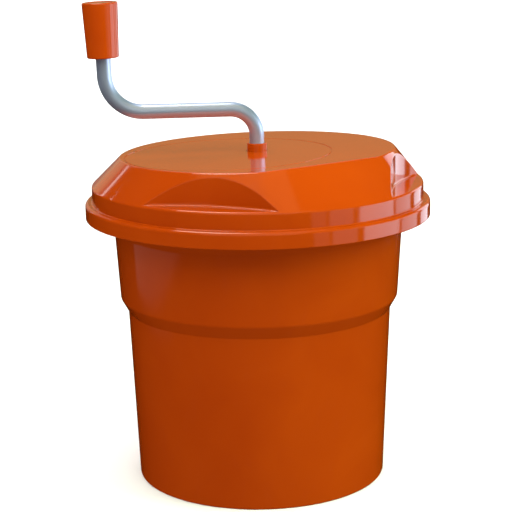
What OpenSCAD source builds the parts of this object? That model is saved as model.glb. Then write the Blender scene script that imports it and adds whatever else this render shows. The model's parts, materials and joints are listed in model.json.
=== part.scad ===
// Hand-cranked salad spinner. A basket turns on a pin in the floor of a tub. A lift-off lid holds
// a bent crank, a two-stage gear train in a closed housing, and a plate that drives the basket.
// Millimetres, +Z up, origin at the centre of the tub's foot, front at -Y.

/* [Tub] */
// Outer radius of the tub at its foot
tub_foot_r = 120.3; // [100:0.1:145]
// Height of the tub's rim, where the lid sits
tub_h = 269; // [210:1:330]
// Height of the step in the tub's wall
step_z = 166.2; // [100:0.1:190]
// Draft that the lower wall gains up to the step
lower_draft = 6.8; // [3:0.1:10]
// Width of the step in the wall
step_w = 7; // [3:0.5:10]
// Height of the step's sloping face
step_h = 12.4; // [8:0.1:20]
// Draft that the upper wall gains up to the flare
upper_draft = 3.9; // [1:0.1:6]
// Radius of the flare under the rim
flare_r = 12; // [8:0.5:16]
// Reach of the rim past the flare
rim_reach = 10.4; // [5:0.1:14]
// Height of the upright lip on the rim
rim_lip_h = 13; // [8:0.5:18]
// Thickness of the tub's wall and floor
tub_wall = 3; // [2:0.1:4]
// Height of the ring that the tub stands on
foot_h = 2.5; // [1.5:0.1:5]

/* [Basket] */
// Gap between the basket's wall and the tub's wall
basket_gap = 13; // [8:0.5:18]
// Gap between the basket's floor and the tub's floor, for the water
sump_h = 24; // [20:1:40]
// Depth of the basket's rim below the tub's rim
basket_drop = 12; // [8:1:20]
// Draft of the basket's wall over its height
basket_draft = 8; // [4:1:12]
// Thickness of the basket's wall and floor
basket_wall = 2.4; // [1.8:0.1:3.5]
// Width of the basket's rim flange
basket_rim_w = 6; // [5:0.5:9]
// Slots in each row round the basket
slot_count = 20; // [12:2:28]
// Rows of slots in the wall
slot_rows = 5; // [3:1:7]
// Width of a slot
slot_w = 5; // [3:0.5:8]
// Diameter of the floor pin that the basket turns on
pivot_d = 10; // [8:1:14]

/* [Lid] */
// Radial clearance between the lid's skirt and the tub's rim
skirt_gap = 1.6; // [0.8:0.1:3]
// Depth of the skirt below the lid's seat
skirt_drop = 12.4; // [8:0.1:12.6]
// Thickness of the lid's wall
lid_wall = 3; // [2.4:0.1:4]
// Width of the ledge between the skirt and the band
ledge_w = 6.6; // [5:0.1:10]
// Height of the band above the seat
band_h = 18; // [12:0.5:25]
// Inward run of the cone from the band to the top face
cone_run = 27.4; // [20:0.1:32]
// Height of the cone above the band, on the lid's axis
cone_h = 30.3; // [28:0.1:40]
// Slope of the top face, in degrees
top_slope = 1.6; // [0:0.1:2.5]
// Direction in which the top face rises, in degrees from the front towards +X
slope_azimuth = 65; // [40:1:90]
// Depth of the straight side that cuts the top face's round edge between the finger recesses
flat_cut = 15.5; // [0:0.5:19]
// Direction that the straight side faces, in degrees from the front towards +X
flat_azimuth = 30; // [20:1:40]
// Direction of the first finger recess, in degrees from the front towards +X
recess_azimuth = -17; // [-25:1:-5]
// Step from the first finger recess to the second, in degrees
recess_step = 91; // [86:1:100]
// Radius of a recess's back wall, seen from above
recess_r = 210; // [150:5:300]
// Distance that a recess's back wall keeps outside the top face's round edge
recess_out = 3; // [0:0.5:6]
// Rise of a recess's floor above the band
recess_rise = 1.5; // [1:0.1:4]

/* [Crank] */
// Outer diameter of the crank's tube
tube_d = 14; // [12:0.5:16]
// Wall of the crank's tube
tube_wall = 2; // [1.5:0.1:3]
// Height of the arm's axis above the lid's top face
arm_rise = 40; // [36:1:60]
// Distance from the crank's axis to the upright
arm_reach = 142.5; // [110:0.5:146]
// Bend radius at the crank's foot
foot_bend_r = 25; // [20:1:32]
// Bend radius at the upright
end_bend_r = 36; // [24:1:40]
// Outward lean of the upright, in degrees
upright_lean = 1.7; // [0:0.1:4]
// Turn of the crank at rest from the -X direction, in degrees
crank_turn = 5; // [0:1:30]
// Diameter of the hub where it shows above the lid
hub_d = 19; // [18:0.5:22]
// Height of the hub above the lid's top face
hub_rise = 7.5; // [4:0.5:12]

/* [Grip] */
// Length of the grip
grip_h = 51.5; // [45:0.5:80]
// Diameter of the grip at its bottom
grip_bottom_d = 29.8; // [26:0.1:40]
// Diameter of the grip at its top
grip_top_d = 33.7; // [30:0.1:42]
// Length of bare tube between the end bend and the grip
upright_h = 16.8; // [8:0.1:40]

/* [Gears] */
// Teeth of the gear on the crank
crank_teeth = 64; // [60:2:68]
// Teeth of the cluster's pinion
pinion_teeth = 20; // [18:2:24]
// Teeth of the cluster's wheel
wheel_teeth = 42; // [40:1:44]
// Face width of the gears
gear_face = 8; // [6:0.5:9]
// Space from the gear train's reach to the top face's edge
train_gap = 3; // [2.5:0.1:12]
// Diameter of the cluster's pin
layshaft_d = 8; // [6:1:8]
// Diameter of the output shaft
shaft_d = 14; // [12:1:16]

/* [Hidden] */
$fn = 96;
eps = 0.01;
far = 600;
// Radial clearance of everything that turns on a shaft
run_gap = 0.05;
// Axial clearance between pieces that turn against each other
face_gap = 0.3;
washer_t = 0.8;

// Tub
floor_z = foot_h + tub_wall;
flange_z = tub_h - rim_lip_h;
step_r = tub_foot_r + lower_draft;
upper_r = step_r + step_w + upper_draft;
flare_end_r = upper_r + flare_r;
rim_r = flare_end_r + rim_reach;
foot_w = 8;
foot_edge = 1.5;

// Basket and its pivot
basket_r = tub_foot_r - tub_wall - basket_gap;
basket_top_r = basket_r + basket_draft;
basket_rim_r = basket_top_r + basket_rim_w;
basket_z = floor_z + sump_h;
basket_top = tub_h - basket_drop;
basket_rim_t = 3;
slot_margin = 16;
slot_bar = 7;
pivot_boss_r = pivot_d / 2 + 8;
pivot_boss_z = floor_z + 11.5;
pivot_washer_z = pivot_boss_z + washer_t;
pivot_bush_z = pivot_washer_z + face_gap;
pivot_bush_flange = 1.5;
pivot_bush_r = pivot_d / 2 + 2.5;
basket_hub_r = pivot_bush_r + 4.5;
pivot_top = basket_z + 8;
basket_bore_top = pivot_top + 1;
pivot_press_depth = 10;

// Lid
skirt_r = rim_r + skirt_gap + lid_wall;
skirt_z = tub_h - skirt_drop;
ledge_z = tub_h + lid_wall;
band_r = skirt_r - ledge_w;
band_z = tub_h + band_h;
top_r = band_r - cone_run;
lid_top = band_z + cone_h;
cone_k = cone_run / cone_h;
flat_reach = top_r - flat_cut;
line_w = 1.2;
line_depth = 0.5;

// Gear train: the crank's gear turns the cluster's pinion, and the cluster's wheel turns the output
// gear on the crank's own axis. The module is what fills the top face.
train_teeth = (crank_teeth + pinion_teeth) / 2;
output_teeth = crank_teeth + pinion_teeth - wheel_teeth;
gear_module = (top_r - train_gap) / (train_teeth + wheel_teeth / 2 + 1);
centre_distance = gear_module * train_teeth;
crank_gear_r = gear_module * (crank_teeth / 2 + 1);
wheel_r = gear_module * (wheel_teeth / 2 + 1);
pressure = 20;
backlash = 0.3;
train_angle = 208;
layshaft = centre_distance * [cos(train_angle), sin(train_angle)];
housing_t = 2;
housing_gap = 1;
housing_in = (crank_gear_r + centre_distance + wheel_r) / 2 + housing_gap;
housing_r = housing_in + housing_t;
housing_centre = (centre_distance + wheel_r - crank_gear_r) / 2 * [cos(train_angle), sin(train_angle)];
gasket_t = 1;

// Heights in the gear train, from the lid's top face down
lid_boss_z = lid_top - lid_wall - 7.3;
lid_bush_flange = 1.5;
lid_bush_t = 3;
bush_cover = 1;
hub_gap = 0.4;
hub_flange_t = 3;
hub_flange_z = lid_boss_z - lid_bush_flange - face_gap - hub_flange_t;
crank_gear_z = hub_flange_z - gear_face;
wheel_step = 1.2;
wheel_top = crank_gear_z - wheel_step;
wheel_z = wheel_top - gear_face;
pinion_top = hub_flange_z + 0.5;
bush_top = wheel_z - face_gap - washer_t;
bush_flange = 1.5;
housing_z = bush_top - bush_flange;
housing_floor = 3;
housing_boss_z = housing_z - 12;
lay_boss_z = pinion_top + face_gap + washer_t;
lay_boss_r = layshaft_d / 2 + 4;
lay_bush_t = 1.5;

// Fixings of the housing: their directions are counted from the train's own direction
fixing_angles = [50, 95, 135, -50, -95, -135];
fixing_ring = housing_in - 5;
fixing_boss_r = 4.5;
fixing_d = 4;
fixing_depth = 14;
fixing_head_d = 7;
fixing_head_h = 2;

// Hub and crank
tube_r = tube_d / 2;
tube_bore = tube_r - tube_wall;
tube_z = lid_boss_z;
hub_pin_z = tube_z + 4.5;
hub_pin_d = 4;
hub_flange_r = 17;
hub_pilot_r = 10;
spigot_d = 8;
spigot_h = 7.5;
clip_t = 1;
gear_screw_ring = 13.5;
gear_screw_d = 3;
gear_screw_head_d = 5.5;
gear_screw_head_h = 2;
arm_z = lid_top + arm_rise;
bend_turn = 90 - upright_lean;
bend_start = eps * round((arm_reach - end_bend_r * sin(bend_turn)) / eps);

// The upright is turned down a little, and its wall runs into the end of the bend
spindle_turned = 0.05;
spindle_run_in = 1;
spindle_r = tube_r - spindle_turned;
spindle_bore = tube_bore + spindle_turned;

// Grip, in heights above the end of the bend
grip_z = upright_h;
tube_top = grip_z + 35.7;
grip_web = tube_top + face_gap;
grip_web_t = 3;
grip_chamber = grip_web + grip_web_t;
grip_chamber_r = 10.5;
grip_cap_t = 5;
grip_top = grip_z + grip_h;
grip_cap_r = 12;
grip_screw_d = 5;
grip_screw_head_d = 9;
grip_screw_head_h = 3.5;
plug_h = 12;
grip_edge = 1.2;

// Output shaft and drive plate
shaft_flat_d = shaft_d - 2;
shaft_flat = shaft_d - 4;
plate_t = 4;
plate_z = basket_top + 3;
plate_hub_r = 17;
plate_hub_top = housing_boss_z - 2;
plate_arms = 4;
plate_disc_r = 38;
arm_w = 18;
tab_w = 14;
tab_gap = 0.5;
tab_depth = 2;
plate_screw_d = 6;
plate_screw_head_d = 11;
plate_screw_head_h = 4;
plate_screw_depth = 12;

// Unit vector of a direction counted from the front towards +X
function heading(azimuth) = [sin(azimuth), -cos(azimuth)];
// Height of the lid's inner face over a point
function roof(p) = lid_top - lid_wall + tan(top_slope) * p * heading(slope_azimuth);
// Points of an arc
function arc(centre, r, from, to, n = 8) =
    [for (i = [0:n]) centre + r * [cos(from + (to - from) * i / n), sin(from + (to - from) * i / n)]];
// Where each screw of the housing goes
function fixing(i) = housing_centre + fixing_ring
    * [cos(train_angle + fixing_angles[i]), sin(train_angle + fixing_angles[i])];

// Involute teeth: half a tooth's angle at radius r, then the outline of a gear
function involute(a) = tan(a) * 180 / PI - a;
function half_tooth(teeth, r) =
    let (pitch_r = gear_module * teeth / 2, base_r = pitch_r * cos(pressure))
    90 / teeth - backlash / 4 / pitch_r * 180 / PI + involute(pressure)
        - involute(acos(min(1, base_r / r)));
function gear_outline(teeth, n = 4) =
    let (
        pitch_r = gear_module * teeth / 2,
        base_r = pitch_r * cos(pressure),
        root_r = pitch_r - 1.25 * gear_module,
        low_r = max(root_r, base_r),
        tip_r = pitch_r + gear_module,
        radii = [for (i = [0:n]) low_r + (tip_r - low_r) * i / n],
        flank = concat([[root_r, half_tooth(teeth, low_r)]],
                       low_r > root_r + eps ? [[low_r, half_tooth(teeth, low_r)]] : [],
                       [for (i = [1:n]) [radii[i], half_tooth(teeth, radii[i])]]),
        last = len(flank) - 1
    )
    [for (tooth = [0:teeth - 1], side = [-1, 1], i = [0:last])
        let (f = flank[side < 0 ? i : last - i], a = 360 * tooth / teeth + side * f[1])
        f[0] * [cos(a), sin(a)]];

// A spur gear with a web thinner than its rim
module gear(teeth, face, hub_r, phase) {
    rim_r = gear_module * (teeth / 2 - 1.25) - 3;
    web = face * 0.5;
    difference() {
        rotate(phase) linear_extrude(face) polygon(gear_outline(teeth));
        if (rim_r > hub_r + 4)
            translate([0, 0, web]) ring(rim_r, hub_r, face);
    }
}

module ring(r_out, r_in, h) {
    difference() {
        cylinder(r = r_out, h = h);
        translate([0, 0, -1]) cylinder(r = r_in, h = h + 2);
    }
}

// A cylinder with two flats
module flatted(d, across, h) {
    intersection() {
        cylinder(d = d, h = h);
        translate([-d, -across / 2, -1]) cube([2 * d, across, h + 2]);
    }
}

// The lid's top face, with x towards its high side
module on_top_face(lift = 0) {
    translate([0, 0, lid_top]) rotate([0, 0, slope_azimuth - 90]) rotate([0, -top_slope, 0])
        translate([0, 0, lift]) children();
}

// Everything that lies below the lid's top face, moved in by t
module below_top_face(t) {
    on_top_face(-t) translate([-far, -far, -2 * far]) cube(2 * far);
}

// The crank's own frame
module on_crank() {
    rotate([0, 0, crank_turn]) children();
}

// The end bend's frame, round the bend's centre with y up
module on_end_bend() {
    on_crank() translate([-bend_start, 0, arm_z + end_bend_r]) rotate([90, 0, 0]) children();
}

// The upright's frame, with z along it and counted from the end of the bend
module on_upright(h = 0) {
    on_end_bend() rotate([0, 0, 270 - bend_turn]) translate([end_bend_r, 0, 0]) rotate([90, 0, 0])
        translate([0, 0, h]) children();
}

module tub() {
    flare_centre = [flare_end_r, flange_z - flare_r];
    color("darkorange") difference() {
        union() {
            rotate_extrude() polygon(concat(
                [[0, foot_h], [tub_foot_r - foot_w, foot_h], [tub_foot_r - foot_w, 0],
                 [tub_foot_r - foot_edge, 0], [tub_foot_r, foot_edge], [step_r, step_z],
                 [step_r + step_w, step_z + step_h]],
                arc(flare_centre, flare_r, 180, 90),
                [[rim_r, flange_z], [rim_r, tub_h], [rim_r - tub_wall, tub_h],
                 [rim_r - tub_wall, flange_z + tub_wall]],
                arc(flare_centre, flare_r + tub_wall, 90, 180),
                [[step_r + step_w - tub_wall, step_z + step_h], [step_r - tub_wall, step_z],
                 [tub_foot_r - tub_wall, floor_z], [0, floor_z]]));
            translate([0, 0, foot_h]) cylinder(r = pivot_boss_r, h = pivot_boss_z - foot_h);
        }
        translate([0, 0, pivot_boss_z - pivot_press_depth]) cylinder(d = pivot_d, h = far);
    }
}

module tub_pivot_pin() {
    color("silver") translate([0, 0, pivot_boss_z - pivot_press_depth])
        cylinder(d = pivot_d, h = pivot_top - pivot_boss_z + pivot_press_depth);
}

module pivot_washer() {
    color("gainsboro") translate([0, 0, pivot_boss_z]) ring(pivot_boss_r - 2, pivot_d / 2, washer_t);
}

module basket() {
    slot_h = (basket_top - basket_z - 2 * slot_margin + slot_bar) / slot_rows - slot_bar;
    notch_w = tab_w + 2 * tab_gap;
    color("white") difference() {
        union() {
            rotate_extrude() polygon([
                [0, basket_z], [basket_r, basket_z], [basket_top_r, basket_top - basket_rim_t],
                [basket_rim_r, basket_top - basket_rim_t], [basket_rim_r, basket_top],
                [basket_top_r - basket_wall, basket_top], [basket_r - basket_wall, basket_z + basket_wall],
                [0, basket_z + basket_wall]]);
            translate([0, 0, pivot_bush_z + pivot_bush_flange])
                cylinder(r = basket_hub_r, h = basket_bore_top + 3 - pivot_bush_z - pivot_bush_flange);
        }
        translate([0, 0, pivot_bush_z - 1]) cylinder(r = pivot_bush_r, h = basket_bore_top - pivot_bush_z + 1);
        for (row = [0:slot_rows - 1], i = [0:slot_count / 2 - 1])
            rotate(180 * (i + row % 2 / 2) / (slot_count / 2))
                translate([-far / 2, -slot_w / 2, basket_z + slot_margin + row * (slot_h + slot_bar)])
                    cube([far, slot_w, slot_h]);
        for (i = [0:slot_count - 1]) rotate(360 * i / slot_count)
            translate([basket_hub_r + 14, -slot_w / 2, basket_z - 1])
                cube([basket_r - basket_hub_r - 26, slot_w, basket_wall + 2]);
        for (i = [0:plate_arms - 1]) rotate(360 * i / plate_arms)
            translate([basket_top_r + 1, -notch_w / 2, basket_top - basket_rim_t - 1])
                cube([far, notch_w, basket_rim_t + 2]);
    }
}

module basket_bush() {
    color("tan") translate([0, 0, pivot_bush_z]) difference() {
        union() {
            cylinder(r = basket_hub_r - 1, h = pivot_bush_flange);
            cylinder(r = pivot_bush_r, h = basket_bore_top - pivot_bush_z);
        }
        translate([0, 0, -1]) cylinder(r = pivot_d / 2 + run_gap, h = far);
    }
}

// The lid's solid form, moved in by t, without its finger recesses
module lid_form(t, low) {
    slant = sqrt(1 + cone_k * cone_k);
    rotate_extrude() polygon([
        [0, low], [skirt_r - t, low], [skirt_r - t, ledge_z - t], [band_r - t, ledge_z - t],
        [band_r - t, band_z - t * (slant - 1) / cone_k], [0, band_z - t * (slant - 1) / cone_k]]);
    hull() {
        translate([0, 0, band_z - t * (slant - 1) / cone_k - eps])
            cylinder(r = band_r - t, h = eps, $fn = 144);
        on_top_face(-t - eps) linear_extrude(eps) rotate(flat_azimuth - slope_azimuth) intersection() {
            circle(r = top_r - t * (slant - cone_k), $fn = 144);
            translate([-far, -far]) square([far + flat_reach - t * (slant - cone_k), 2 * far]);
        }
    }
}

// The finger recesses, grown by t: each back wall is an arc, hollow towards the fingers
module recesses(t) {
    for (azimuth = [recess_azimuth, recess_azimuth + recess_step])
        rotate(azimuth - 90) translate([top_r + recess_out + recess_r, 0, band_z + recess_rise - t])
            cylinder(r = recess_r + t, h = far);
}

module lid() {
    color("darkorange") difference() {
        union() {
            difference() {
                lid_form(0, skirt_z);
                difference() {
                    lid_form(lid_wall, skirt_z - 1);
                    recesses(lid_wall);
                }
            }
            translate([0, 0, lid_boss_z])
                cylinder(r = hub_d / 2 + lid_bush_t + 5, h = lid_top - lid_wall / 2 - lid_boss_z);
            translate([layshaft.x, layshaft.y, lay_boss_z])
                cylinder(r = lay_boss_r, h = roof(layshaft) + lid_wall / 2 - lay_boss_z);
            for (i = [0:len(fixing_angles) - 1]) translate([fixing(i).x, fixing(i).y, housing_z])
                cylinder(r = fixing_boss_r, h = roof(fixing(i)) + lid_wall / 2 - housing_z);
        }
        recesses(0);
        translate([0, 0, lid_boss_z - 1])
            cylinder(r = hub_d / 2 + lid_bush_t, h = lid_top - bush_cover - lid_boss_z + 1);
        translate([0, 0, lid_boss_z]) cylinder(r = hub_d / 2 + hub_gap, h = far);
        translate([layshaft.x, layshaft.y, lay_boss_z - 1]) cylinder(d = layshaft_d, h = 7);
        for (i = [0:len(fixing_angles) - 1]) translate([fixing(i).x, fixing(i).y, housing_z - 1])
            cylinder(d = fixing_d, h = 1 + fixing_depth);
        on_top_face(-line_depth) rotate(90 - slope_azimuth)
            translate([housing_centre.x, housing_centre.y, 0])
                ring(housing_in + line_w / 2, housing_in - line_w / 2, 1);
    }
}

module lid_bush() {
    color("tan") difference() {
        union() {
            translate([0, 0, lid_boss_z]) cylinder(r = hub_d / 2 + lid_bush_t, h = lid_top - bush_cover - lid_boss_z);
            translate([0, 0, lid_boss_z - lid_bush_flange])
                cylinder(r = hub_d / 2 + lid_bush_t + 4, h = lid_bush_flange);
        }
        translate([0, 0, lid_boss_z - 5]) cylinder(r = hub_d / 2 + run_gap, h = far);
    }
}

module gear_housing() {
    color("white") difference() {
        union() {
            translate([housing_centre.x, housing_centre.y, housing_z - housing_floor]) difference() {
                cylinder(r = housing_r, h = lid_top + 10 - housing_z);
                translate([0, 0, housing_floor]) cylinder(r = housing_in, h = far);
            }
            translate([layshaft.x, layshaft.y, housing_z - 1]) cylinder(r = lay_boss_r, h = bush_flange + 1);
            translate([0, 0, housing_boss_z]) cylinder(r = shaft_d / 2 + 8, h = housing_z - housing_boss_z);
        }
        difference() {
            translate([-far, -far, housing_z]) cube([2 * far, 2 * far, far]);
            below_top_face(lid_wall + gasket_t);
        }
        translate([layshaft.x, layshaft.y, housing_z - bush_flange]) cylinder(d = layshaft_d, h = far);
        translate([0, 0, housing_boss_z - 1]) cylinder(r = shaft_d / 2 + 3, h = far);
        for (i = [0:len(fixing_angles) - 1]) translate([fixing(i).x, fixing(i).y, housing_z - housing_floor - 1])
            cylinder(d = fixing_d, h = far);
    }
}

module housing_gasket() {
    color("dimgray") difference() {
        intersection() {
            translate([housing_centre.x, housing_centre.y, housing_z])
                ring(housing_r, housing_in, lid_top - housing_z + 10);
            below_top_face(lid_wall);
        }
        below_top_face(lid_wall + gasket_t);
    }
}

module housing_screws() {
    color("silver") for (i = [0:len(fixing_angles) - 1])
        translate([fixing(i).x, fixing(i).y, housing_z - housing_floor]) {
            translate([0, 0, -fixing_head_h]) cylinder(d = fixing_head_d, h = fixing_head_h);
            cylinder(d = fixing_d, h = housing_floor + fixing_depth - 2);
        }
}

module output_bush() {
    color("tan") difference() {
        union() {
            translate([0, 0, housing_boss_z]) cylinder(r = shaft_d / 2 + 3, h = bush_top - housing_boss_z);
            translate([0, 0, housing_z]) cylinder(r = shaft_d / 2 + 7, h = bush_flange);
        }
        translate([0, 0, housing_boss_z - 1]) cylinder(r = shaft_d / 2 + run_gap, h = far);
    }
}

module output_washer() {
    color("gainsboro") translate([0, 0, bush_top]) ring(shaft_d / 2 + 5, shaft_d / 2 + run_gap, washer_t);
}

module layshaft_pin() {
    pin_z = housing_z - bush_flange;
    color("silver") translate([layshaft.x, layshaft.y, pin_z]) cylinder(d = layshaft_d, h = lay_boss_z + 6 - pin_z);
}

module layshaft_washers() {
    color("gainsboro") for (z = [bush_top, lay_boss_z - washer_t])
        translate([layshaft.x, layshaft.y, z]) ring(lay_boss_r, layshaft_d / 2, washer_t);
}

module cluster_gear() {
    bore_r = layshaft_d / 2 + run_gap + lay_bush_t;
    color("white") translate([layshaft.x, layshaft.y, wheel_z]) difference() {
        union() {
            gear(wheel_teeth, gear_face, gear_module * (pinion_teeth / 2 + 1) + 2, train_angle);
            rotate(train_angle + 180 + 180 / pinion_teeth) linear_extrude(pinion_top - wheel_z)
                polygon(gear_outline(pinion_teeth));
        }
        translate([0, 0, -1]) cylinder(r = bore_r, h = far);
    }
}

module cluster_bush() {
    color("tan") translate([layshaft.x, layshaft.y, wheel_z])
        ring(layshaft_d / 2 + run_gap + lay_bush_t, layshaft_d / 2 + run_gap, pinion_top - wheel_z);
}

module crank_hub() {
    pilot_z = wheel_top + clip_t + 0.5;
    color("darkorange") difference() {
        union() {
            translate([0, 0, hub_flange_z]) cylinder(d = hub_d, h = lid_top + hub_rise - hub_flange_z);
            translate([0, 0, hub_flange_z]) cylinder(r = hub_flange_r, h = hub_flange_t);
            translate([0, 0, pilot_z]) cylinder(r = hub_pilot_r, h = hub_flange_z - pilot_z);
        }
        translate([0, 0, tube_z]) cylinder(r = tube_r, h = far);
        translate([0, 0, pilot_z - 1]) cylinder(r = spigot_d / 2 + run_gap, h = wheel_top + spigot_h + 1 - pilot_z + 1);
        on_crank() translate([0, far / 2, hub_pin_z]) rotate([90, 0, 0]) cylinder(d = hub_pin_d, h = far);
        gear_screw_places() cylinder(d = gear_screw_d, h = gear_face + hub_flange_t - 1);
    }
}

module gear_screw_places() {
    for (i = [0:2]) rotate(120 * i) translate([gear_screw_ring, 0, crank_gear_z]) children();
}

module crank_gear() {
    color("white") difference() {
        translate([0, 0, crank_gear_z]) gear(crank_teeth, gear_face, hub_flange_r + 3, train_angle);
        translate([0, 0, crank_gear_z - 1]) cylinder(r = hub_pilot_r, h = far);
        gear_screw_places() {
            cylinder(d = gear_screw_d, h = far);
            translate([0, 0, -1]) cylinder(d = gear_screw_head_d, h = gear_screw_head_h + 1);
        }
    }
}

module crank_gear_screws() {
    color("silver") gear_screw_places() {
        cylinder(d = gear_screw_head_d, h = gear_screw_head_h);
        cylinder(d = gear_screw_d, h = gear_face + hub_flange_t - 1);
    }
}

// A stretch of the crank's tube along z, its wall turned down by an amount on both faces
module tube_run(length, turned = 0) {
    linear_extrude(length) tube_section(turned);
}

// A bend of the crank's tube in the x-y plane, from one direction through an angle
module tube_bend(r, from, angle) {
    rotate_extrude(angle = angle, start = from) translate([r, 0]) tube_section();
}

module tube_section(turned = 0) {
    difference() {
        circle(r = tube_r - turned);
        circle(r = tube_bore + turned);
    }
}

// Foot, bend, arm, bend and upright
module crank_tube() {
    color("lightsteelblue") difference() {
        union() {
            on_crank() {
                translate([0, 0, tube_z]) tube_run(arm_z - foot_bend_r - tube_z);
                translate([-foot_bend_r, 0, arm_z - foot_bend_r]) rotate([90, 0, 0]) tube_bend(foot_bend_r, 0, 90);
                translate([-bend_start, 0, arm_z]) rotate([0, 90, 0]) tube_run(bend_start - foot_bend_r);
            }
            on_end_bend() tube_bend(end_bend_r, 270 - bend_turn, bend_turn);
            on_upright(-spindle_run_in) tube_run(tube_top + spindle_run_in, spindle_turned);
        }
        on_crank() translate([0, hub_d, hub_pin_z]) rotate([90, 0, 0]) cylinder(d = hub_pin_d, h = 2 * hub_d);
    }
}

module crank_pin() {
    pin_l = hub_d - 0.6;
    color("silver") on_crank() translate([0, pin_l / 2, hub_pin_z]) rotate([90, 0, 0])
        cylinder(d = hub_pin_d, h = pin_l);
}

module tube_plug() {
    color("silver") on_upright(tube_top - plug_h) ring(spindle_bore, grip_screw_d / 2, plug_h);
}

module grip_screw() {
    color("silver") on_upright(tube_top - plug_h + 1) {
        cylinder(d = grip_screw_d, h = grip_chamber + face_gap + washer_t - tube_top + plug_h - 1);
        translate([0, 0, grip_chamber + face_gap + washer_t - tube_top + plug_h - 1])
            cylinder(d = grip_screw_head_d, h = grip_screw_head_h);
    }
}

module grip_washer() {
    color("gainsboro") on_upright(grip_chamber + face_gap)
        ring(grip_chamber_r - 1.5, grip_screw_d / 2, washer_t);
}

module grip() {
    bottom_r = grip_bottom_d / 2;
    top_r = grip_top_d / 2;
    color("darkorange") on_upright(grip_z) difference() {
        rotate_extrude() polygon([
            [0, 0], [bottom_r - grip_edge, 0], [bottom_r, grip_edge], [top_r, grip_h - grip_edge],
            [top_r - grip_edge, grip_h], [0, grip_h]]);
        translate([0, 0, -1]) cylinder(r = spindle_r + run_gap, h = grip_web - grip_z + 1);
        translate([0, 0, -1]) cylinder(r = grip_screw_d / 2 + run_gap, h = far);
        translate([0, 0, grip_chamber - grip_z]) cylinder(r = grip_chamber_r, h = far);
        translate([0, 0, grip_h - grip_cap_t]) cylinder(r = grip_cap_r, h = far);
    }
}

module grip_cap() {
    color("darkorange") on_upright(grip_top - grip_cap_t) difference() {
        cylinder(r = grip_cap_r, h = grip_cap_t - 0.5);
        translate([0, 0, -1]) cylinder(r = grip_chamber_r - 2, h = 2.5);
    }
}

module output_gear() {
    phase = train_angle + 180 / output_teeth;
    color("white") translate([0, 0, wheel_z]) difference() {
        gear(output_teeth, gear_face, shaft_d / 2 + 6, phase);
        translate([0, 0, -1]) flatted(shaft_flat_d, shaft_flat, gear_face + 2);
    }
}

module output_shaft() {
    color("silver") difference() {
        union() {
            translate([0, 0, plate_hub_top]) cylinder(d = shaft_d, h = wheel_z - plate_hub_top);
            translate([0, 0, plate_z - 1]) flatted(shaft_flat_d, shaft_flat, wheel_top - plate_z + 1);
            translate([0, 0, wheel_top - 1]) cylinder(d = spigot_d, h = spigot_h + 1);
        }
        translate([0, 0, plate_z - 2]) cylinder(d = plate_screw_d, h = plate_screw_depth + 1);
    }
}

module shaft_clip() {
    color("gainsboro") translate([0, 0, wheel_top]) ring(spigot_d / 2 + 3.5, spigot_d / 2, clip_t);
}

module drive_plate() {
    tab_in = basket_top_r + 1 + tab_gap;
    color("white") difference() {
        union() {
            translate([0, 0, plate_z]) cylinder(r = plate_disc_r, h = plate_t);
            translate([0, 0, plate_z]) cylinder(r = plate_hub_r, h = plate_hub_top - plate_z);
            for (i = [0:plate_arms - 1]) rotate(360 * i / plate_arms) {
                translate([0, -arm_w / 2, plate_z]) cube([basket_rim_r, arm_w, plate_t]);
                translate([tab_in, -tab_w / 2, basket_top - basket_rim_t - tab_depth])
                    cube([basket_rim_r - tab_in, tab_w, plate_z - basket_top + basket_rim_t + tab_depth + 1]);
            }
        }
        translate([0, 0, plate_z - 1]) flatted(shaft_flat_d, shaft_flat, far);
    }
}

module drive_washer() {
    color("gainsboro") translate([0, 0, plate_z - 1 - washer_t])
        ring(plate_screw_head_d / 2 + 2, plate_screw_d / 2, washer_t);
}

module drive_screw() {
    color("silver") {
        translate([0, 0, plate_z - 1 - washer_t - plate_screw_head_h])
            cylinder(d = plate_screw_head_d, h = plate_screw_head_h);
        translate([0, 0, plate_z - 1 - washer_t]) cylinder(d = plate_screw_d, h = plate_screw_depth + washer_t - 1);
    }
}

tub();
tub_pivot_pin();
pivot_washer();
basket();
basket_bush();
lid();
lid_bush();
gear_housing();
housing_gasket();
housing_screws();
output_bush();
output_washer();
layshaft_pin();
layshaft_washers();
cluster_gear();
cluster_bush();
crank_hub();
crank_gear();
crank_gear_screws();
crank_tube();
crank_pin();
tube_plug();
grip_screw();
grip_washer();
grip();
grip_cap();
output_gear();
output_shaft();
shaft_clip();
drive_plate();
drive_washer();
drive_screw();
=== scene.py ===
import json
import math

import bmesh
import bpy
from mathutils import Matrix, Vector


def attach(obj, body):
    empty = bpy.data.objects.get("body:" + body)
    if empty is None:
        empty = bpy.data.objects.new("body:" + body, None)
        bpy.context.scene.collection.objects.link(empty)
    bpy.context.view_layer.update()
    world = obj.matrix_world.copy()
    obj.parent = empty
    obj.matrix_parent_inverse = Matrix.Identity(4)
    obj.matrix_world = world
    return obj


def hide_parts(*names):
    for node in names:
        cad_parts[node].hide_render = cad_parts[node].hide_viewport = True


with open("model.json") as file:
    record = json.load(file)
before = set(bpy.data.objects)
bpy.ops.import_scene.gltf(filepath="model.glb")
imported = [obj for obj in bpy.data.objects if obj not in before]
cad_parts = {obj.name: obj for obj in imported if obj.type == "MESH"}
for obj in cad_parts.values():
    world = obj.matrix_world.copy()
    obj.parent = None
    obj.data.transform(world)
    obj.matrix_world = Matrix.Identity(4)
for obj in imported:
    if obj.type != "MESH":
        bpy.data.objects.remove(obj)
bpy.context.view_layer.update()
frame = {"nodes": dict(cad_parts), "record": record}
scene = bpy.context.scene
print("frame loaded:", len(frame["nodes"]), "nodes")


def metres(millimetres):
    return millimetres * 0.001


def heading(azimuth):  # unit vector of a direction counted in degrees from the front towards +X
    return Vector((math.sin(math.radians(azimuth)), -math.cos(math.radians(azimuth))))


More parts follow.
